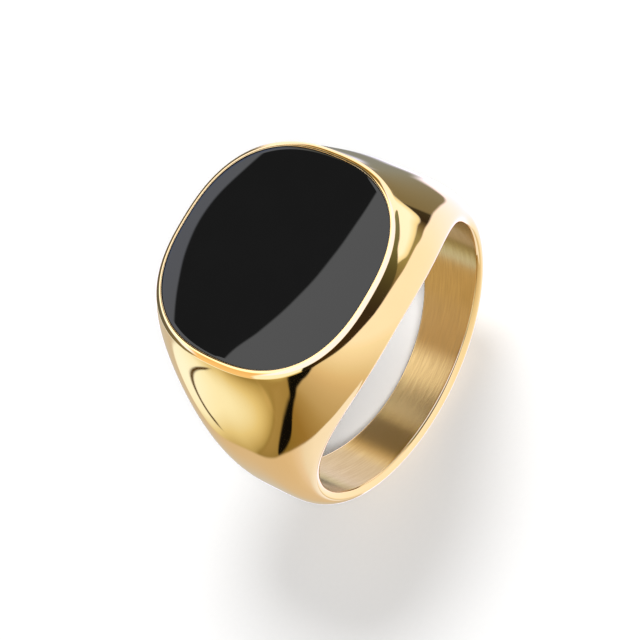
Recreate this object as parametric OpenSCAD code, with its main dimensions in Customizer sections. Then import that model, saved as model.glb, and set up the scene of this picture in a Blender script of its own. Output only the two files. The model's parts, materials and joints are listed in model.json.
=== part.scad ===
// Signet ring: a one-piece polished ring with a cushion-shaped head, and a black domed inlay
// bedded in a pocket in the head. The finger hole runs along Y, its centre is the origin, the
// face looks along +Z and the shoulders run out along +X and -X.

/* [Finger hole] */
// Radius of the finger hole
bore_r = 9.9; // [8:0.05:11.5]
// How far the hole's rim is eased back at each side of the ring
edge_ease = 0.5; // [0.1:0.05:0.8]
// Depth of that easing, measured outwards from the hole's wall
edge_ease_depth = 0.9; // [0.6:0.05:1.3]

/* [Face] */
// Height of the rim of the face above the hole's wall
face_rise = 3.35; // [2.8:0.05:4.6]
// Half the length of the face, from shoulder to shoulder
face_half_x = 7.97; // [6.5:0.01:9.5]
// Half the width of the face, along the finger
face_half_y = 7.97; // [6.5:0.01:9.5]
// Squareness of the face, where 2 is an ellipse and 4 is nearly square
face_squareness = 2.46; // [2:0.02:4]
// Width of the rim round the inlay
rim_w = 0.45; // [0.25:0.01:0.8]
// Height of the rim's rounded outer side
rim_round = 0.24; // [0.08:0.01:0.24]
// Share of the rim's width that its rounded outer side takes
rim_round_share = 0.9; // [0.3:0.05:0.95]

/* [Shoulders and shank] */
// Wall at the sides of the ring, level with the finger's centre
side_wall = 1.15; // [1:0.05:2.4]
// Wall at the back of the shank
back_wall = 1.45; // [1.1:0.05:2.8]
// How quickly the shoulders fall from the face to the shank
shoulder_fall = 3.6; // [3:0.1:7]
// Half width that the head swells towards just below the face
cheek_half_w = 11.45; // [9:0.05:12.5]
// Half width that the shoulders narrow towards
shoulder_half_w = 5.95; // [4.5:0.05:7.5]
// Half width that the sides of the shank narrow towards
shank_half_w = 4.4; // [2.5:0.05:5.5]
// Half width of the back of the shank
back_half_w = 2.95; // [2:0.05:4]
// Squareness of the crown across the shoulders, and across the back
crown_squareness = [1.6, 2.8];
// Squareness of the sides of the shoulders, and of the back
side_squareness = [3.9, 4.25];

/* [Inlay] */
// Thickness of the inlay at its edge
inlay_t = 1.2; // [0.8:0.05:1.6]
// Rise of the inlay's dome above its edge
dome_rise = 0.25; // [0.05:0.05:0.6]
// Step from the top of the rim down to the inlay's edge
inlay_drop = 0.03; // [0:0.01:0.2]
// Gap between the inlay and the wall of its pocket
inlay_gap = 0.03; // [0.02:0.01:0.1]
// Thickness of the adhesive bed under the inlay
adhesive_t = 0.1; // [0.05:0.01:0.2]
// Gap between the adhesive bed's edge and the wall of the pocket
adhesive_gap = 0.03; // [0.02:0.01:0.3]

/* [Fineness] */
// Sections between the face and the back of the shank, on each side
section_count = 34; // [20:1:40]
// Steps round each quarter of a section
quarter_steps = 15; // [10:1:18]
// Steps round the outline of the pocket and the inlay
outline_steps = 96; // [48:4:144]

/* [Hidden] */

face_z = bore_r + face_rise;
shoulder_z = face_z - rim_round;
face_r = norm([face_half_x, shoulder_z]);
pocket_half_x = face_half_x - rim_w;
pocket_half_y = face_half_y - rim_w;
inlay_half_x = pocket_half_x - inlay_gap;
inlay_half_y = pocket_half_y - inlay_gap;
inlay_edge_z = face_z - inlay_drop;
inlay_base_z = inlay_edge_z - inlay_t;
pocket_z = inlay_base_z - adhesive_t;
dome_half = max(inlay_half_x, inlay_half_y);
dome_r = (pow(dome_half, 2) + pow(dome_rise, 2)) / (2 * dome_rise);

// how late the sections tilt, and how early they sink, on their way round the ring
tilt_power = 2.3;
sink_power = 1.65;
// how late the wall changes from its side value to its back value
back_power = 5;
// sections start a little inside the finger hole, so that the hole cuts them cleanly
inside_hole = 0.6;
// nearest that a section starts to the middle of the head, as a share of its length
start_share = 0.3;
// largest share of the easing depth that is carried into the hole
ease_limit = 1.2;
rim_steps = 5;
bore_facets = 180;
dome_facets = 180;
over = 1;

// the point at share t along a Bezier curve through a list of control values
function bezier(values, t) =
    len(values) == 1 ? values[0] :
    bezier([for (i = [0:len(values) - 2]) values[i] * (1 - t) + values[i + 1] * t], t);

// one coordinate of a superellipse: the sine or cosine raised to its power, with its sign
function super(c, squareness) = sign(c) * pow(abs(c), 2 / squareness);

// closed cushion outline with the given half sizes
function cushion(half_x, half_y) = [
    for (i = [0:outline_steps - 1])
        let (a = 360 * i / outline_steps)
        [half_x * super(cos(a), face_squareness), half_y * super(sin(a), face_squareness)]
];

// The sections run from t = 0, level with the face, to t = 1, straight down through the back.
// Each lies in a plane through a line along Y that sinks from the face to the finger's centre,
// while the plane tilts from level to upright.
function plane_tilt(t) = 90 * pow(t, tilt_power);
function plane_z(t) = shoulder_z * pow(1 - t, sink_power);

// distance from the finger's centre to the crown
function crown_r(t) =
    bore_r + side_wall + (back_wall - side_wall) * pow(sin(90 * t), back_power)
    + (face_r - bore_r - side_wall) * pow(1 - t, shoulder_fall);

// distance from the section's own line to where its plane meets a circle round the finger
function reach(t, r) =
    let (across = plane_z(t) * cos(plane_tilt(t)))
    r <= across ? 0 : plane_z(t) * sin(plane_tilt(t)) + sqrt(pow(r, 2) - pow(across, 2));

function half_width(t) =
    bezier([face_half_y, cheek_half_w, shoulder_half_w, shank_half_w, back_half_w, back_half_w], t);
function crown_power(t) =
    bezier([face_squareness, crown_squareness[0], crown_squareness[1], crown_squareness[1]], t);
function side_power(t) =
    bezier([face_squareness, side_squareness[0], side_squareness[1], side_squareness[1]], t);

// how far the side is eased back at a distance r from the finger's centre
function ease(r) =
    edge_ease * pow(max(0, min(ease_limit, 1 - (r - bore_r) / edge_ease_depth)), 2);

// point of the section at t, out along its plane by q and half a width y to the side
function section_point(t, q, y) =
    let (x = q * cos(plane_tilt(t)), z = plane_z(t) - q * sin(plane_tilt(t)))
    [x, y - ease(norm([x, z])), z];

// one quarter of a section, from its own line out to the crown
function quarter(t) =
    let (length = reach(t, crown_r(t)))
    let (start = max(reach(t, bore_r - inside_hole), start_share * length))
    let (m = crown_power(t), k = side_power(t), w = half_width(t))
    let (first = asin(pow(start / length, m / 2)))
    concat(
        [section_point(t, 0, w)],
        [for (i = [0:quarter_steps])
            let (a = first + (90 - first) * i / quarter_steps)
            let (y = i == quarter_steps ? 0 : w * pow(cos(a), 2 / k))
            section_point(t, length * pow(sin(a), 2 / m), y)]
    );

// half a section: from +Y over the crown to -Y
function half_section(t) =
    let (q = quarter(t), n = len(q))
    concat(q, [for (i = [n - 2:-1:0]) [q[i][0], -q[i][1], q[i][2]]]);

// a whole section: the +X half, and the -X half as its mirror image
function mirrored(half) =
    concat(half, [for (i = [len(half) - 2:-1:1]) [-half[i][0], half[i][1], half[i][2]]]);

// one loop of the rim's rounded outer edge, at angle a above its lower end
function rim_loop(a) =
    let (inset = rim_w * rim_round_share * (1 - cos(a)))
    [for (p = mirrored(half_section(0)))
        [p[0] * (1 - inset / face_half_x), p[1] * (1 - inset / face_half_y),
         shoulder_z + rim_round * sin(a)]];

// the outside of the ring, with the finger hole and the pocket still to be cut
module ring_blank() {
    half_count = 2 * quarter_steps + 3;
    loop_count = 2 * half_count - 2;
    rim_loops = [for (i = [0:rim_steps - 1]) rim_loop(90 * (rim_steps - i) / rim_steps)];
    side_loops = [for (i = [0:section_count - 1]) mirrored(half_section(i / section_count))];
    loops = concat(rim_loops, side_loops);
    points = concat([for (loop = loops) each loop], half_section(1));
    last = len(loops);
    // the two halves share the last section, at the back of the shank
    function at(i, j) =
        let (k = j % loop_count)
        i * loop_count + (i == last && k >= half_count ? loop_count - k : k);
    top = [for (j = [0:loop_count - 1]) at(0, j)];
    walls = [
        for (i = [0:last - 1], j = [0:loop_count - 1])
            each [[at(i, j), at(i, j + 1), at(i + 1, j + 1)],
                  [at(i, j), at(i + 1, j + 1), at(i + 1, j)]]
    ];
    // a triangle that ends twice on one point of the last section has no area
    solid_walls = [for (f = walls) if (f[0] != f[1] && f[1] != f[2] && f[2] != f[0]) f];
    faces = concat([[for (i = [len(top) - 1:-1:0]) top[i]]], solid_walls);
    polyhedron(points = points, faces = faces, convexity = 6);
}

// polished ring: shank, shoulders and head in one piece
module ring_body() {
    color("#d9a441")
    difference() {
        ring_blank();
        rotate([90, 0, 0])
            cylinder(h = 4 * face_half_y, r = bore_r, center = true, $fn = bore_facets);
        translate([0, 0, pocket_z])
            linear_extrude(height = face_z - pocket_z + over)
            polygon(cushion(pocket_half_x, pocket_half_y));
    }
}

// film of adhesive on the floor of the pocket
module adhesive_bed() {
    color("#b9b39a")
    translate([0, 0, pocket_z])
        linear_extrude(height = adhesive_t)
        polygon(cushion(pocket_half_x - adhesive_gap, pocket_half_y - adhesive_gap));
}

// black inlay with a low dome
module black_inlay() {
    color("#191919")
    intersection() {
        translate([0, 0, inlay_base_z])
            linear_extrude(height = inlay_t + dome_rise + over)
            polygon(cushion(inlay_half_x, inlay_half_y));
        translate([0, 0, inlay_edge_z + dome_rise - dome_r])
            sphere(r = dome_r, $fn = dome_facets);
    }
}

ring_body();
adhesive_bed();
black_inlay();
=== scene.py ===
"""Signet ring: a polished gold-tone ring with a black domed inlay, on a pale studio floor.

Lengths are in millimetres and become metres when a mesh is made. The finger hole runs along Y,
its centre is the origin, the face looks along +Z and the shoulders run out along +X and -X.
"""

import json
import math

import bmesh
import bpy
import numpy as np
from mathutils import Matrix, Vector


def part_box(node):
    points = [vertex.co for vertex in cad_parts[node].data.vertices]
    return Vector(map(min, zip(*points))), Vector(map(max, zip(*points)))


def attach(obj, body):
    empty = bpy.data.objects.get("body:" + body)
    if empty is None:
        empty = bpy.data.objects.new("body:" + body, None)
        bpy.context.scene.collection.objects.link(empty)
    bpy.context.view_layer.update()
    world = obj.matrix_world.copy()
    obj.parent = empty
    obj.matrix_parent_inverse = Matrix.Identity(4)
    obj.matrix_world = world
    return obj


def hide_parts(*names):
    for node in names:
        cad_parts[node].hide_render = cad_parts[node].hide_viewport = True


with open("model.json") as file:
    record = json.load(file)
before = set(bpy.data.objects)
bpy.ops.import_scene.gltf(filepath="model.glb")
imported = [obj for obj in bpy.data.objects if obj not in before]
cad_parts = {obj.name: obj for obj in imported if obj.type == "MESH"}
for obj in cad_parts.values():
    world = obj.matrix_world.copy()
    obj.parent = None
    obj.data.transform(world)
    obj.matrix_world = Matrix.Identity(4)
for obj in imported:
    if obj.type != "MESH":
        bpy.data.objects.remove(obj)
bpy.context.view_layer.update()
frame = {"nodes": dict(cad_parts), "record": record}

MM = 0.001


# ---------------------------------------------------------------- sizes

def box_mm(node):
    """Lowest and highest corner of a CAD node, in millimetres."""
    low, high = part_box(node)
    return np.array(low) / MM, np.array(high) / MM


ring_low, ring_high = box_mm("ring_body")
bed_low = box_mm("adhesive_bed")[0]
inlay_low, inlay_high = box_mm("black_inlay")

BORE_R = frame["record"]["mounts"][0]["dims"]["r_mm"]
INLAY_GAP = 0.03

# the rim round the inlay: its width, the height of its rounded outer side, the share of the
# width that the rounding takes, and how steeply the rounding starts
RIM_W = 0.45
RIM_ROUND = 0.24
RIM_ROUND_SHARE = 0.9
RIM_START_TILT = math.radians(55)

# half sizes of the face, which follow from the inlay's box
INLAY_HALF = inlay_high[:2]
POCKET_HALF = INLAY_HALF + INLAY_GAP
FACE_HALF = POCKET_HALF + RIM_W
FACE_SQUARENESS = 2.46
FACE_Z = ring_high[2]
POCKET_Z = bed_low[2]
SHOULDER_Z = FACE_Z - RIM_ROUND
FACE_R = math.hypot(FACE_HALF[0], SHOULDER_Z)

# wall at the sides and at the back of the shank
SIDE_WALL = 1.15
BACK_WALL = -ring_low[2] - BORE_R
BACK_POWER = 5
SHOULDER_FALL = 3.6

# control values, from the face to the back, of the half width and of the sections' squareness
HALF_WIDTHS = [FACE_HALF[1], 11.45, 5.95, 4.4, 2.95, 2.95]
CROWN_SQUARENESS = [FACE_SQUARENESS, 1.6, 2.8, 2.8]
SIDE_SQUARENESS = [FACE_SQUARENESS, 3.9, 4.25, 4.25]

# how late the sections tilt, and how early they sink, on their way round the ring
TILT_POWER = 2.3
SINK_POWER = 1.65

# the sides are eased back towards the finger hole
EDGE_EASE = 0.5
EDGE_EASE_DEPTH = 0.9

# the polished-over edges of the hole, the pocket and the inlay
HOLE_EDGE_R = 0.05
POCKET_EDGE_R = 0.02
INLAY_EDGE_R = 0.03

DOME_RISE = 0.25
INLAY_EDGE_Z = inlay_high[2] - DOME_RISE
DOME_R = (max(INLAY_HALF) ** 2 + DOME_RISE**2) / (2 * DOME_RISE)

# fineness of the meshes
HEAD_ROWS = 36
SHANK_ROWS = 150
CROWN_COLUMNS = 64
BORE_COLUMNS = 28
INLAY_COLUMNS = 256
INLAY_ROWS = 40
ROUND_STEPS = 5
RIM_STEPS = 9
HOLE_EDGE_STEPS = 4
POCKET_ROWS = 4
# how closely the columns crowd towards the crown
CROWN_CROWDING = 1.7
# how softly the rows of the shoulders start along the hole's edge
EDGE_START = 0.25
# halvings of the range in which tangent_share looks
HALVINGS = 60


# ---------------------------------------------------------------- the ring's surface

def bezier(values, t):
    """The value at share t along a Bezier curve through a list of control values."""
    n = len(values) - 1
    return sum(math.comb(n, i) * t**i * (1 - t) ** (n - i) * v for i, v in enumerate(values))


def plane_tilt(t):
    """Tilt of the section at t: level at the face and upright at the back."""
    return math.pi / 2 * t**TILT_POWER


def plane_z(t):
    """Height of the line along Y that the section at t starts from."""
    return SHOULDER_Z * (1 - t) ** SINK_POWER


def crown_r(t):
    """Distance from the finger's centre to the crown."""
    back = np.sin(math.pi / 2 * t) ** BACK_POWER
    head = (1 - t) ** SHOULDER_FALL
    return (BORE_R + SIDE_WALL + (BACK_WALL - SIDE_WALL) * back
            + (FACE_R - BORE_R - SIDE_WALL) * head)


def reach(t, r):
    """Distance from a section's own line to where its plane meets a circle round the finger."""
    across = plane_z(t) * np.cos(plane_tilt(t))
    return plane_z(t) * np.sin(plane_tilt(t)) + np.sqrt(np.maximum(r * r - across * across, 0))


def ease(r):
    """How far the side is eased back at a distance r from the finger's centre."""
    return EDGE_EASE * np.clip(1 - (r - BORE_R) / EDGE_EASE_DEPTH, 0, None) ** 2


def surface(t, column, start):
    """Point on the +X, +Y quarter of the outside: column 0 lies start away from the section's
    own line and column 1 lies on the crown."""
    length = reach(t, crown_r(t))
    crown_power, side_power = bezier(CROWN_SQUARENESS, t), bezier(SIDE_SQUARENESS, t)
    first = np.arcsin((start / length) ** (crown_power / 2))
    a = first + (math.pi / 2 - first) * (1 - (1 - column) ** CROWN_CROWDING)
    q = length * np.sin(a) ** (2 / crown_power)
    y = bezier(HALF_WIDTHS, t) * np.clip(np.cos(a), 0, None) ** (2 / side_power)
    y = np.where(column == 1, 0, y)
    x, z = q * np.cos(plane_tilt(t)), plane_z(t) - q * np.sin(plane_tilt(t))
    eased = np.where(column == 1, 0, ease(np.hypot(x, z)))
    return np.stack([x, y - eased, z], -1)


def tangent_share():
    """Share of the way round at which a section's plane just touches the hole's edge."""
    low, high = 0.0, 0.5
    for _ in range(HALVINGS):
        t = (low + high) / 2
        above = plane_z(t) * np.cos(plane_tilt(t)) > BORE_R + HOLE_EDGE_R
        low, high = (t, high) if above else (low, t)
    return (low + high) / 2


# ---------------------------------------------------------------- mesh tools

class Shell:
    """Vertices and faces of a closed surface, gathered row by row."""

    def __init__(self):
        self.points, self.faces, self.count = [], [], 0

    def add(self, points):
        """Adds a row of points and returns their numbers."""
        points = np.atleast_2d(points)
        self.points.append(points)
        self.count += len(points)
        return list(range(self.count - len(points), self.count))

    def band(self, upper, lower, closed=True, part=0):
        """Joins two rows of equal length with quads."""
        steps = len(upper) if closed else len(upper) - 1
        for j in range(steps):
            k = (j + 1) % len(upper)
            self.faces.append(((upper[j], lower[j], lower[k], upper[k]), part))

    def cap(self, row, point, part=0):
        """Closes a row with a fan to a point in its middle."""
        middle = self.add(point)[0]
        for j in range(len(row)):
            self.faces.append(((row[j], middle, row[(j + 1) % len(row)]), part))

    def make(self, name, materials):
        """The finished object, smooth, in metres, with its faces looking outwards."""
        mesh = bpy.data.meshes.new(name)
        mesh.from_pydata((np.concatenate(self.points) * MM).tolist(), [], [f for f, _ in self.faces])
        for material in materials:
            mesh.materials.append(material)
        mesh.polygons.foreach_set("material_index", [p for _, p in self.faces])
        bm = bmesh.new()
        bm.from_mesh(mesh)
        bmesh.ops.recalc_face_normals(bm, faces=bm.faces)
        bm.to_mesh(mesh)
        bm.free()
        mesh.shade_smooth()
        obj = bpy.data.objects.new(name, mesh)
        bpy.context.scene.collection.objects.link(obj)
        return obj


def cushion(half, count):
    """Closed cushion outline with the given half sizes."""
    a = np.arange(count) * 2 * math.pi / count
    power = 2 / FACE_SQUARENESS
    return np.stack([half[0] * np.sign(np.cos(a)) * np.abs(np.cos(a)) ** power,
                     half[1] * np.sign(np.sin(a)) * np.abs(np.sin(a)) ** power], -1)


def flip(points, x=1, y=1):
    """The points mirrored in x or y, where that is -1."""
    return points * np.array([x, y, 1])


# ---------------------------------------------------------------- pieces

def build_ring(materials):
    """The ring in one piece: head, shoulders and shank, with the finger hole and the pocket."""
    shell = Shell()
    columns = np.linspace(0, 1, CROWN_COLUMNS + 1)
    edge_r = BORE_R + HOLE_EDGE_R
    t_touch = tangent_share()
    touch = plane_z(t_touch) * np.sin(plane_tilt(t_touch))
    share = touch / reach(t_touch, crown_r(t_touch))

    def head_loop(t):
        start = share * reach(t, crown_r(t))
        quarter = surface(np.full_like(columns, t), columns, start)
        middle = surface(np.array([t]), np.array([0.0]), np.array([0.0]))
        arch = np.concatenate([quarter, flip(quarter[-2::-1], y=-1)])
        return np.concatenate([middle, arch, flip(middle, y=-1), flip(arch[::-1], x=-1)])

    # head, from the face down to where the loops touch the hole's edge
    heads = [head_loop(t) for t in np.linspace(0, t_touch, HEAD_ROWS + 1)]
    rows = [shell.add(p) for p in heads]
    for upper, lower in zip(rows, rows[1:]):
        shell.band(upper, lower)

    # shoulders and shank, from there round to the back, on each side
    n = len(columns)
    arch_n = 2 * n - 1
    last_head = rows[-1]
    right = [last_head[1 : 1 + arch_n]]
    left = [last_head[2 + arch_n :][::-1]]
    for i in range(1, SHANK_ROWS + 1):
        s = i / SHANK_ROWS
        slow = (math.hypot(s, EDGE_START) - EDGE_START) / (math.hypot(1, EDGE_START) - EDGE_START)
        t = t_touch + (1 - t_touch) * (slow + (s - slow) * columns)
        quarter = surface(t, columns, reach(t, edge_r))
        arch = np.concatenate([quarter, flip(quarter[-2::-1], y=-1)])
        if i == SHANK_ROWS:
            arch[:, 0] = 0
            right.append(shell.add(arch))
            left.append(right[-1])
        else:
            right.append(shell.add(arch))
            left.append(shell.add(flip(arch, x=-1)))
    for upper, lower in zip(right, right[1:]):
        shell.band(upper, lower, closed=False)
    for upper, lower in zip(left, left[1:]):
        shell.band(lower, upper, closed=False)

    # the hole's two edges, polished over, and its wall
    def hole_rows(side):
        top = last_head[0] if side > 0 else last_head[1 + arch_n]
        end = 0 if side > 0 else -1
        outer = [top] + [r[end] for r in right] + [r[end] for r in left[-2::-1]]
        points = np.concatenate(shell.points)[outer]
        radius = np.hypot(points[:, 0], points[:, 2])[:, None]
        edge = points * np.array([1, 0, 1]) * BORE_R / radius
        edge[:, 1] = points[:, 1] - side * (ease(BORE_R) - ease(radius[:, 0]))
        inner = edge - np.array([0, side * HOLE_EDGE_R, 0])
        made = [outer]
        for u in np.linspace(0, 1, HOLE_EDGE_STEPS + 1)[1:]:
            p = (1 - u) ** 2 * points + 2 * u * (1 - u) * edge + u * u * inner
            made.append(shell.add(p))
        return made, inner

    near, near_inner = hole_rows(-1)
    far, far_inner = hole_rows(1)
    for edge_rows in (near, far):
        for upper, lower in zip(edge_rows, edge_rows[1:]):
            shell.band(upper, lower)
    walls = [far[-1]]
    for k in range(1, BORE_COLUMNS):
        v = k / BORE_COLUMNS
        walls.append(shell.add(far_inner * (1 - v) + near_inner * v))
    walls.append(near[-1])
    for upper, lower in zip(walls, walls[1:]):
        shell.band(upper, lower, part=1)

    # rim, pocket wall and pocket floor
    outline = heads[0]

    def rim_loop(inset, z):
        scale = 1 - inset / FACE_HALF
        return shell.add(np.column_stack([outline[:, :2] * scale, np.full(len(outline), z)]))

    rim = [rows[0]]
    middle = RIM_ROUND / math.tan(RIM_START_TILT)
    for u in np.linspace(0, 1, RIM_STEPS + 1)[1:]:
        rim.append(rim_loop(bezier([0, middle, RIM_W * RIM_ROUND_SHARE], u),
                            SHOULDER_Z + bezier([0, RIM_ROUND, RIM_ROUND], u)))
    for a in np.linspace(0, math.pi / 2, ROUND_STEPS):
        rim.append(rim_loop(RIM_W - POCKET_EDGE_R * (1 - math.sin(a)),
                            FACE_Z - POCKET_EDGE_R * (1 - math.cos(a))))
    for z in np.linspace(FACE_Z - POCKET_EDGE_R, POCKET_Z, POCKET_ROWS + 1)[1:]:
        rim.append(rim_loop(RIM_W, z))
    for upper, lower in zip(rim, rim[1:]):
        shell.band(upper, lower)
    shell.cap(rim[-1], [0, 0, POCKET_Z])
    return shell.make("ring_polished", materials)


def build_inlay(material):
    """The inlay: a low dome with its edge polished over."""
    shell = Shell()
    unit = cushion(np.array([1.0, 1.0]), INLAY_COLUMNS)

    def dome_z(points):
        return INLAY_EDGE_Z + DOME_RISE - DOME_R + np.sqrt(DOME_R**2 - (points**2).sum(1))

    def loop(inset, drop):
        points = unit * (INLAY_HALF - inset)
        return np.column_stack([points, dome_z(points) - drop])

    rows = []
    for share in np.linspace(0, 1, INLAY_ROWS + 1)[1:]:
        points = unit * (INLAY_HALF - INLAY_EDGE_R) * share
        rows.append(shell.add(np.column_stack([points, dome_z(points)])))
    for a in np.linspace(0, math.pi / 2, ROUND_STEPS)[1:]:
        rows.append(shell.add(loop(INLAY_EDGE_R * (1 - math.sin(a)),
                                   INLAY_EDGE_R * (1 - math.cos(a)))))
    edge = unit * INLAY_HALF
    rows.append(shell.add(np.column_stack([edge, np.full(len(edge), inlay_low[2])])))
    for upper, lower in zip(rows, rows[1:]):
        shell.band(upper, lower)
    shell.cap(rows[0][::-1], [0, 0, inlay_high[2]])
    shell.cap(rows[-1], [0, 0, inlay_low[2]])
    return shell.make("inlay_polished", [material])


# ---------------------------------------------------------------- node tools

# sockets of the Mix node that carry colours
MIX_FIRST, MIX_SECOND, MIX_RESULT = 6, 7, 2


class Graph:
    """A node tree with short calls for the nodes used below."""

    def __init__(self, tree):
        self.tree = tree

    def add(self, kind, **settings):
        node = self.tree.nodes.new(kind)
        for key, value in settings.items():
            setattr(node, key, value)
        return node

    def feed(self, socket, value):
        """Links a socket, or sets it to a number or a colour."""
        if isinstance(value, bpy.types.NodeSocket):
            self.tree.links.new(value, socket)
        else:
            socket.default_value = value

    def math(self, operation, *values):
        node = self.add("ShaderNodeMath", operation=operation)
        for socket, value in zip(node.inputs, values):
            self.feed(socket, value)
        return node.outputs[0]

    def step(self, value, low, high):
        """0 below low, 1 above high and smooth between them."""
        node = self.add("ShaderNodeMapRange", interpolation_type="SMOOTHSTEP")
        for socket, part in zip(node.inputs, (value, low, high, 0.0, 1.0)):
            self.feed(socket, part)
        return node.outputs[0]

    def split(self, vector):
        """The three coordinates of a vector."""
        node = self.add("ShaderNodeSeparateXYZ")
        self.feed(node.inputs[0], vector)
        return node.outputs

    def noise(self, place, scale, detail):
        node = self.add("ShaderNodeTexNoise")
        self.feed(node.inputs["Vector"], place)
        node.inputs["Scale"].default_value = scale
        node.inputs["Detail"].default_value = detail
        return node.outputs[0]

    def mix(self, share, first, second):
        node = self.add("ShaderNodeMix", data_type="RGBA")
        self.feed(node.inputs["Factor"], share)
        self.feed(node.inputs[MIX_FIRST], first)
        self.feed(node.inputs[MIX_SECOND], second)
        return node.outputs[MIX_RESULT]

    def share(self, value, low, high):
        """Where a value lies between low and high, from 0 to 1."""
        node = self.add("ShaderNodeMapRange")
        for socket, part in zip(node.inputs, (value, low, high, 0.0, 1.0)):
            self.feed(socket, part)
        return node.outputs[0]

    def curve(self, value, points, low, high):
        """A smooth line through (place, height) points; heights lie between low and high."""
        first, last = points[0][0], points[-1][0]
        node = self.add("ShaderNodeFloatCurve")
        line = node.mapping.curves[0]
        while len(line.points) < len(points):
            line.points.new(0.5, 0.5)
        for point, (place, height) in zip(line.points, points):
            point.location = ((place - first) / (last - first), (height - low) / (high - low))
            point.handle_type = "AUTO"
        node.mapping.update()
        self.feed(node.inputs["Value"], self.share(value, first, last))
        return self.math("MULTIPLY_ADD", node.outputs[0], high - low, low)

    def ramp(self, value, stops):
        """A colour that changes smoothly through (place, colour) stops."""
        first, last = stops[0][0], stops[-1][0]
        node = self.add("ShaderNodeValToRGB")
        ramp = node.color_ramp
        while len(ramp.elements) < len(stops):
            ramp.elements.new(0.5)
        for element, (place, colour) in zip(ramp.elements, stops):
            element.position = (place - first) / (last - first)
            element.color = (*colour, 1)
        self.feed(node.inputs[0], self.share(value, first, last))
        return node.outputs[0]


# ---------------------------------------------------------------- materials

def new_material(name):
    """A material with its graph and its Principled shader."""
    material = bpy.data.materials.new(name)
    material.use_nodes = True
    return material, Graph(material.node_tree), material.node_tree.nodes["Principled BSDF"]


GOLD = (1.0, 0.70, 0.34, 1)
HAZY_GOLD = (0.985, 0.685, 0.33, 1)
BRUSHED_DARK, BRUSHED_LIGHT = (0.50, 0.34, 0.145, 1), (0.56, 0.40, 0.185, 1)
STONE_DARK, STONE_LIGHT = (0.0045, 0.0045, 0.0045, 1), (0.0065, 0.0065, 0.0065, 1)
ADHESIVE_DARK, ADHESIVE_LIGHT = (0.42, 0.4, 0.32, 1), (0.56, 0.54, 0.46, 1)
FLOOR_DARK, FLOOR_LIGHT = (0.79, 0.79, 0.79, 1), (0.81, 0.81, 0.81, 1)

# the part of a noise's range that is spread from 0 to 1
NOISE_SPREAD = (0.3, 0.7)

# roughness: its change from the low to the high end of the noise, and its value at the low end
POLISHED_ROUGHNESS = (-0.025, 0.055)
BRUSHED_ROUGHNESS = (-0.06, 0.26)
STONE_ROUGHNESS = (0.01, 0.006)
ADHESIVE_ROUGHNESS = (0.2, 0.4)

# the brushing: its grain along and across the hole's wall, and how deep it is in metres
BRUSH_ALONG, BRUSH_ACROSS = 5.0, 9000.0
BRUSH_DEPTH = 0.00001


def polished_gold():
    """Mirror-polished gold plate, with the faint haze that handling leaves."""
    material, graph, shader = new_material("polished_gold")
    shader.inputs["Metallic"].default_value = 1
    place = graph.add("ShaderNodeTexCoord").outputs["Object"]
    haze = graph.noise(place, scale=350, detail=3)
    shine = graph.share(haze, *NOISE_SPREAD)
    graph.feed(shader.inputs["Base Color"], graph.mix(shine, HAZY_GOLD, GOLD))
    graph.feed(shader.inputs["Roughness"], graph.math("MULTIPLY_ADD", shine, *POLISHED_ROUGHNESS))
    return material


def brushed_gold():
    """Gold plate brushed round the inside of the finger hole."""
    material, graph, shader = new_material("brushed_gold")
    shader.inputs["Metallic"].default_value = 1
    shader.inputs["Anisotropic"].default_value = 0.75
    shader.inputs["Anisotropic Rotation"].default_value = 0.25
    place = graph.add("ShaderNodeTexCoord").outputs["Object"]
    x, y, z = graph.split(place)
    grain = graph.add("ShaderNodeCombineXYZ")
    graph.feed(grain.inputs[0], graph.math("MULTIPLY", graph.math("ARCTAN2", x, z), BRUSH_ALONG))
    graph.feed(grain.inputs[1], graph.math("MULTIPLY", y, BRUSH_ACROSS))
    brushing = graph.noise(grain.outputs[0], scale=1, detail=4)
    line = graph.share(brushing, *NOISE_SPREAD)
    graph.feed(shader.inputs["Base Color"], graph.mix(line, BRUSHED_DARK, BRUSHED_LIGHT))
    graph.feed(shader.inputs["Roughness"], graph.math("MULTIPLY_ADD", line, *BRUSHED_ROUGHNESS))
    bump = graph.add("ShaderNodeBump")
    bump.inputs["Strength"].default_value = 0.25
    bump.inputs["Distance"].default_value = BRUSH_DEPTH
    graph.feed(bump.inputs["Height"], brushing)
    graph.feed(shader.inputs["Normal"], bump.outputs[0])
    tangent = graph.add("ShaderNodeTangent", direction_type="RADIAL", axis="Y")
    graph.feed(shader.inputs["Tangent"], tangent.outputs[0])
    return material


def black_stone():
    """Polished black stone with a barely visible cloud in it."""
    material, graph, shader = new_material("black_stone")
    place = graph.add("ShaderNodeTexCoord").outputs["Object"]
    cloud = graph.noise(place, scale=260, detail=5)
    graph.feed(shader.inputs["Base Color"], graph.mix(cloud, STONE_DARK, STONE_LIGHT))
    graph.feed(shader.inputs["Roughness"], graph.math("MULTIPLY_ADD", cloud, *STONE_ROUGHNESS))
    return material


def adhesive():
    """Set two-part adhesive with small bubbles."""
    material, graph, shader = new_material("adhesive")
    place = graph.add("ShaderNodeTexCoord").outputs["Object"]
    bubbles = graph.noise(place, scale=2500, detail=2)
    graph.feed(shader.inputs["Base Color"], graph.mix(bubbles, ADHESIVE_DARK, ADHESIVE_LIGHT))
    graph.feed(shader.inputs["Roughness"], graph.math("MULTIPLY_ADD", bubbles, *ADHESIVE_ROUGHNESS))
    return material


def floor_paint():
    """Matt white sweep, faintly uneven."""
    material, graph, shader = new_material("floor_paint")
    place = graph.add("ShaderNodeTexCoord").outputs["Object"]
    grain = graph.noise(place, scale=3000, detail=2)
    graph.feed(shader.inputs["Base Color"], graph.mix(grain, FLOOR_DARK, FLOOR_LIGHT))
    shader.inputs["Roughness"].default_value = 0.9
    shader.inputs["Specular IOR Level"].default_value = 0
    return material


# ---------------------------------------------------------------- studio

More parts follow.
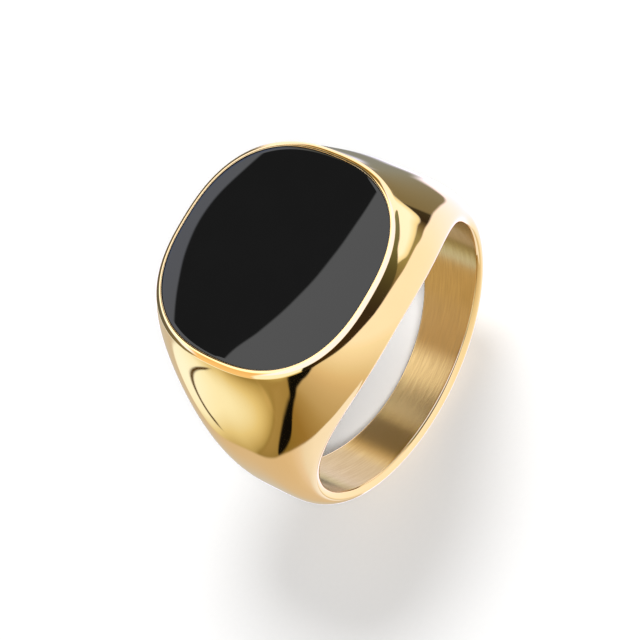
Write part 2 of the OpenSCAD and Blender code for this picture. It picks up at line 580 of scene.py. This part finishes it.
FLOOR_HALF = 600.0
CAMERA_AIM = (-0.143, 2.399, 1.606)
CAMERA_DISTANCE = 174.72
# azimuth from -Y towards +X, elevation and roll, in degrees
CAMERA_TURN = (-16.98, 54.52, 45.57)
LENS, SENSOR = 146.25, 36
CLIP = (0.01, 10)


def build_floor():
    """Level floor under the lowest point of the ring."""
    size = FLOOR_HALF * MM
    mesh = bpy.data.meshes.new("floor")
    z = ring_low[2] * MM
    mesh.from_pydata([(-size, -size, z), (size, -size, z), (size, size, z), (-size, size, z)],
                     [], [(0, 1, 2, 3)])
    mesh.materials.append(floor_paint())
    floor = bpy.data.objects.new("floor", mesh)
    floor.visible_glossy = False
    bpy.context.scene.collection.objects.link(floor)


def build_camera():
    """Camera above the near left, rolled, at the photo's viewing angle."""
    aim = Vector(CAMERA_AIM) * MM
    distance = CAMERA_DISTANCE * MM
    azimuth, elevation, roll = (math.radians(a) for a in CAMERA_TURN)
    back = Vector((math.sin(azimuth) * math.cos(elevation),
                   -math.cos(azimuth) * math.cos(elevation), math.sin(elevation)))
    data = bpy.data.cameras.new("camera")
    data.lens = LENS
    data.sensor_width = SENSOR
    data.clip_start, data.clip_end = CLIP
    camera = bpy.data.objects.new("camera", data)
    turn = (-back).to_track_quat("-Z", "Y").to_matrix() @ Matrix.Rotation(-roll, 3, "Z")
    camera.matrix_world = Matrix.Translation(aim + back * distance) @ turn.to_4x4()
    bpy.context.scene.collection.objects.link(camera)
    bpy.context.scene.camera = camera


BACKDROP = (1.0, 1.0, 1.0, 1)
# each lamp's strength, its spread in degrees and its lean in x and y; the front lamp leans along
# the camera's direction, so its shadow lies behind the ring
LAMPS = dict(
    front=(2.45, 12, (-0.21, -0.68)),
    key=(1.6, 20, (0.5, 0.06)),
    fill=(0.65, 170, (0, 0)),
)

# The studio round the ring, by direction: azimuth in degrees from -Y towards +X, and elevation
# above the horizon. Each card hangs between a lower and an upper edge, given as points along its
# length. Its colours run along it, or upwards from its lower edge where it is "rising". A card
# at the "back" measures azimuth from +Y instead. The edges and colours were set, and rounded,
# from measurements of what the ring in the photo mirrors.
STREAK = [(-114, -34), (-108, -30.5), (-100, -26.5), (-95, -24), (-90, -20), (-85, -16.5),
          (-80, -11.5), (-75, -6.5), (-70, -2.5), (-65, 0.5), (-60, 3), (-50, 9.5)]
TABLE_EDGE = [(-180, -37), (-160, -36), (-145, -40), (-135, -39), (-120, -36), (-110, -34),
              (-100, -33.7), (-90, -35), (-80, -38), (-70, -42), (-60, -46), (-50, -50),
              (-40, -52), (-20, -54)]
SHOULDER_LINE = [(-180, -44), (-143, -44), (-135, -40), (-130, -36.5), (-125, -33.5),
                 (-120, -30.5), (-110, -24.5), (-100, -18.5), (-90, -13), (-80, -7), (-70, 1),
                 (-60, 7), (-50, 12)]
RAIL_TOP = [(-50, 14), (-45, 25), (-30, 28), (0, 28), (15, 24), (25, 16), (30, 9), (35, 1),
            (40, -6.5), (45, -10), (50, -13), (60, -18), (70, -22), (77, -26), (80, -25.5),
            (84, -22), (90, -18.5), (100, -23), (110, -27), (120, -31), (130, -36.5), (140, -41),
            (150, -44), (160, -46)]
CARDS = [
    # front wall
    dict(soft=1, lean=(0.5, -10), lower=[(-180, -90), (180, -90)],
         upper=[(-180, 30), (180, 30)],
         colours=[(-111, (0.25, 0.19, 0.05)), (-93, (0.31, 0.22, 0.07)), (-80, (0.42, 0.34, 0.17)),
                  (-71, (0.52, 0.45, 0.29)), (-58, (0.61, 0.54, 0.39)), (-50, (0.67, 0.59, 0.44)),
                  (-40, (0.76, 0.69, 0.54)), (-30, (0.83, 0.81, 0.70)), (-20, (0.92, 0.92, 0.87)),
                  (-10, (0.98, 1.02, 1.0)), (0, (1.1, 1.12, 1.25)), (40, (1.15, 1.15, 1.3)),
                  (75, (1.15, 1.18, 1.5)), (100, (1.25, 1.25, 1.8)), (120, (1.3, 1.35, 1.8)),
                  (150, (1.3, 1.3, 1.6))]),
    # left wall
    dict(soft=1, rising=True, lower=SHOULDER_LINE,
         upper=[(-180, 38), (-50, 38)],
         colours=[(0, (0.37, 0.32, 0.13)), (2, (0.58, 0.52, 0.27)), (4.5, (0.8, 0.78, 0.5)),
                  (8, (1.0, 1.14, 1.1)), (13, (1.1, 1.3, 1.5))]),
    # olive wall
    dict(soft=1, rising=True, lower=[(-180, -40), (-145, -40), *STREAK],
         upper=SHOULDER_LINE,
         colours=[(0, (0.3, 0.24, 0.09)), (3, (0.36, 0.29, 0.12)), (8, (0.4, 0.33, 0.15))]),
    # left slit
    dict(soft=0.6, lower=[(-146, -31.8), (-142, -32.2), (-139, -33.8), (-136, -36)],
         upper=[(-146, -29), (-142, -30.5), (-139, -32), (-136, -34)],
         colours=[(-146, (0.12, 0.08, 0.02)), (-136, (0.07, 0.04, 0.01))]),
    # black flag
    dict(soft=1, lower=[(-114, -34.5), (-108, -33), (-100, -30.5), (-95, -28),
         (-90, -22), (-85, -18), (-80, -14.5), (-75, -10), (-70, -6.5), (-65, -3), (-60, 0),
         (-50, 8)],
         upper=[(-114, -33.5), (-108, -28), (-100, -22.5), (-95, -20), (-90, -17.5), (-85, -14.5),
                (-80, -9), (-75, -3), (-70, 1), (-60, 7), (-50, 14)],
         colours=[(-114, (0.005, 0.005, 0.005)), (-50, (0.005, 0.005, 0.005))]),
    # white table
    dict(soft=0.8, lower=[(-180, -90), (-20, -90)], upper=TABLE_EDGE,
         colours=[(-180, (0.62, 0.62, 0.57)), (-155, (0.66, 0.62, 0.54)), (-140, (0.70, 0.62, 0.49)),
                  (-110, (0.73, 0.65, 0.54)), (-100, (0.76, 0.69, 0.6)), (-90, (0.83, 0.79, 0.80)),
                  (-82, (0.88, 0.94, 1.08)), (-70, (0.96, 1.04, 1.24)), (-40, (1.0, 1.1, 1.35))]),
    # right wall
    dict(soft=1, rising=True, lower=RAIL_TOP, upper=[(-50, 38), (160, 38)],
         colours=[(0, (0.9, 0.95, 0.75)), (4, (1.1, 1.15, 1.15)), (9, (1.3, 1.35, 1.7))]),
    # dark rail
    dict(soft=1.2, lower=[(-50, 8), (-40, 12.5), (-30, 14), (-10, 13.5), (0, 12),
         (10, 7.5), (20, 2), (30, -5.5), (40, -12), (50, -18.5), (60, -26), (70, -30), (80, -35),
         (90, -38), (100, -42), (110, -45), (120, -42), (130, -42.5), (138, -46), (150, -49.5),
         (160, -54)],
         upper=RAIL_TOP,
         colours=[(-50, (0.01, 0.01, 0.01)), (-35, (0.06, 0.04, 0.02)), (10, (0.04, 0.03, 0.02)),
                  (22, (0.22, 0.19, 0.11)), (35, (0.34, 0.33, 0.17)), (60, (0.33, 0.33, 0.2)),
                  (70, (0.2, 0.17, 0.1)), (78, (0.04, 0.03, 0.02)), (87, (0.05, 0.045, 0.03)),
                  (89, (0.22, 0.21, 0.15)), (110, (0.25, 0.25, 0.2)), (135, (0.27, 0.29, 0.26)),
                  (160, (0.25, 0.26, 0.24))]),
    # rim flag
    dict(soft=1, lower=[(-60, 4), (-50, 9), (-39, 12.2), (-18, 14), (-4, 13.5),
         (9, 9.5), (17, 6), (25, 5), (35, 7.5), (41, 8.5), (50, 5), (62, 0.5), (75, -4)],
         upper=[(-60, 34), (75, 34)],
         colours=[(-60, (0.01, 0.01, 0.01)), (-39, (0.05, 0.03, 0.01)), (8, (0.04, 0.03, 0.02)),
                  (26, (0.1, 0.1, 0.05)), (40, (0.16, 0.18, 0.1)), (62, (0.2, 0.24, 0.19)),
                  (75, (0.25, 0.3, 0.2))]),
    # back glow
    dict(back=True, soft=3, lower=[(-60, 24), (30, 24), (45, 8), (70, 8)],
         upper=[(-60, 38), (70, 38)],
         colours=[(-60, (1.05, 1.36, 2.2)), (70, (1.05, 1.36, 2.2))]),
    # back band
    dict(back=True, soft=3,
         lower=[(-32, -30), (5, -30), (42, -24), (50, -12), (75, -12)],
         upper=[(-32, 24), (30, 24), (45, 8), (75, 8)],
         colours=[(-32, (0.14, 0.15, 0.14)), (20, (0.14, 0.15, 0.14)), (45, (0.25, 0.22, 0.12)),
                  (75, (0.25, 0.22, 0.12))]),
]
OVERHEAD_GAP = dict(back=True, soft=0.15,
                    lower=[(-45, 44), (-30, 44), (-22, 44.1), (-16, 44.4), (-12, 45.5),
                           (-8.4, 47.1), (-4.8, 48.9), (0, 51.5), (5, 54)],
                    upper=[(-45, 48), (-32, 54.5), (-28.4, 55.8), (-22.8, 57.1), (-16.3, 57.6),
                           (-9.1, 56.9), (-4.1, 55.6), (5, 54.5)],
                    colours=[(-45, (0.07, 0.07, 0.07)), (5, (0.07, 0.07, 0.07))])
CEILING = (1.75, 1.8, 2.0, 1)
FRONT_CEILING = (1.05, 1.36, 2.4, 1)
# the y of a direction between which the front ceiling gives way to the ceiling
CEILING_Y = (0.24, 0.3)

# What the wall of the finger hole mirrors, by angle round +Y, set from the photo as the cards are
HOLE_VIEW = [(12, (1.7, 1.7, 1.6)), (20, (1.0, 0.8, 0.45)), (28, (0.24, 0.18, 0.06)),
             (50, (0.24, 0.19, 0.08)), (57, (1.2, 1.1, 0.8)), (63, (1.85, 1.85, 1.85)),
             (108, (1.85, 1.85, 1.85)), (122, (0.9, 0.66, 0.33)), (140, (0.95, 0.72, 0.4)),
             (175, (1.0, 0.8, 0.48)), (200, (0.95, 0.75, 0.45))]
# the y of a direction at which it fades in and out, and how far its two ends fade, in degrees
HOLE_VIEW_Y = (0.22, 0.3, 0.63, 0.7)
FADE_OUT, FADE_IN = 4, 2


DOWN, UP = -90, 90


def hang(graph, light, card, front, behind, height):
    """The light with a card in front of it."""
    azimuth = behind if card.get("back") else front
    soft = card["soft"]
    low = graph.curve(azimuth, card["lower"], DOWN, UP)
    high = graph.curve(azimuth, card["upper"], DOWN, UP)
    mask = graph.math("MULTIPLY", graph.step(graph.math("SUBTRACT", height, low), -soft, soft),
                      graph.step(graph.math("SUBTRACT", high, height), -soft, soft))
    first, last = card["lower"][0][0], card["lower"][-1][0]
    if first > -180:
        mask = graph.math("MULTIPLY", mask, graph.step(azimuth, first - soft, first + soft))
    if last < 180:
        mask = graph.math("MULTIPLY", mask, graph.step(azimuth, last + soft, last - soft))
    if card.get("rising"):
        along = graph.math("SUBTRACT", height, low)
    else:
        lean, level = card.get("lean", (0, 0))
        along = graph.math("MULTIPLY_ADD", graph.math("SUBTRACT", height, level), lean, azimuth)
    return graph.mix(mask, light, graph.ramp(along, card["colours"]))


def build_world():
    """The studio as a world that only reflections see: a bright ceiling, with the cards in front
    of it. The camera sees a plain backdrop, and the lamps light the floor."""
    world = bpy.data.worlds.new("studio")
    world.use_nodes = True
    graph = Graph(world.node_tree)
    background = world.node_tree.nodes["Background"]
    x, y, z = graph.split(graph.add("ShaderNodeTexCoord").outputs["Generated"])
    around = graph.math("MULTIPLY", x, -1.0)
    front = graph.math("DEGREES", graph.math("ARCTAN2", x, graph.math("MULTIPLY", y, -1.0)))
    behind = graph.math("DEGREES", graph.math("ARCTAN2", around, y))
    height = graph.math("DEGREES", graph.math("ARCSINE", z))
    # angle round +Y, from 0 at +X over 90 at the top to 180 at -X
    turn = graph.math("ADD", graph.math("DEGREES", graph.math("ARCTAN2", around, z)), 90.0)
    outer, wide, narrow, inner = HOLE_VIEW_Y
    first, last = HOLE_VIEW[0][0], HOLE_VIEW[-1][0]
    seen = graph.math("MULTIPLY", graph.step(y, outer, wide), graph.step(y, inner, narrow))
    seen = graph.math("MULTIPLY", seen, graph.step(turn, first - FADE_OUT, first + FADE_IN))
    seen = graph.math("MULTIPLY", seen, graph.step(turn, last + FADE_OUT, last - FADE_IN))
    light = graph.mix(graph.step(y, *CEILING_Y), FRONT_CEILING, CEILING)
    for card in CARDS:
        light = hang(graph, light, card, front, behind, height)
    light = graph.mix(seen, light, graph.ramp(turn, HOLE_VIEW))
    light = hang(graph, light, OVERHEAD_GAP, front, behind, height)
    camera = graph.add("ShaderNodeLightPath").outputs["Is Camera Ray"]
    graph.feed(background.inputs["Color"], graph.mix(camera, light, BACKDROP))
    # the floor is lit by the lamps alone
    world.cycles_visibility.diffuse = False
    bpy.context.scene.world = world


def build_lamps():
    """Three soft lamps that light the floor and aren't mirrored."""
    for name, (strength, spread, lean) in LAMPS.items():
        data = bpy.data.lights.new(name, "SUN")
        data.energy = strength
        data.angle = math.radians(spread)
        lamp = bpy.data.objects.new(name, data)
        lamp.visible_glossy = False
        lamp.rotation_euler = Vector((*lean, 1)).to_track_quat("Z", "Y").to_euler()
        bpy.context.scene.collection.objects.link(lamp)


ring = build_ring([polished_gold(), brushed_gold()])
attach(ring, "root")
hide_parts("ring_body")

inlay = build_inlay(black_stone())
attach(inlay, "root")
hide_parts("black_inlay")

bed = frame["nodes"]["adhesive_bed"]
bed.data.materials.clear()
bed.data.materials.append(adhesive())

build_floor()
build_camera()
build_world()
build_lamps()
bpy.context.scene.view_settings.view_transform = "Standard"
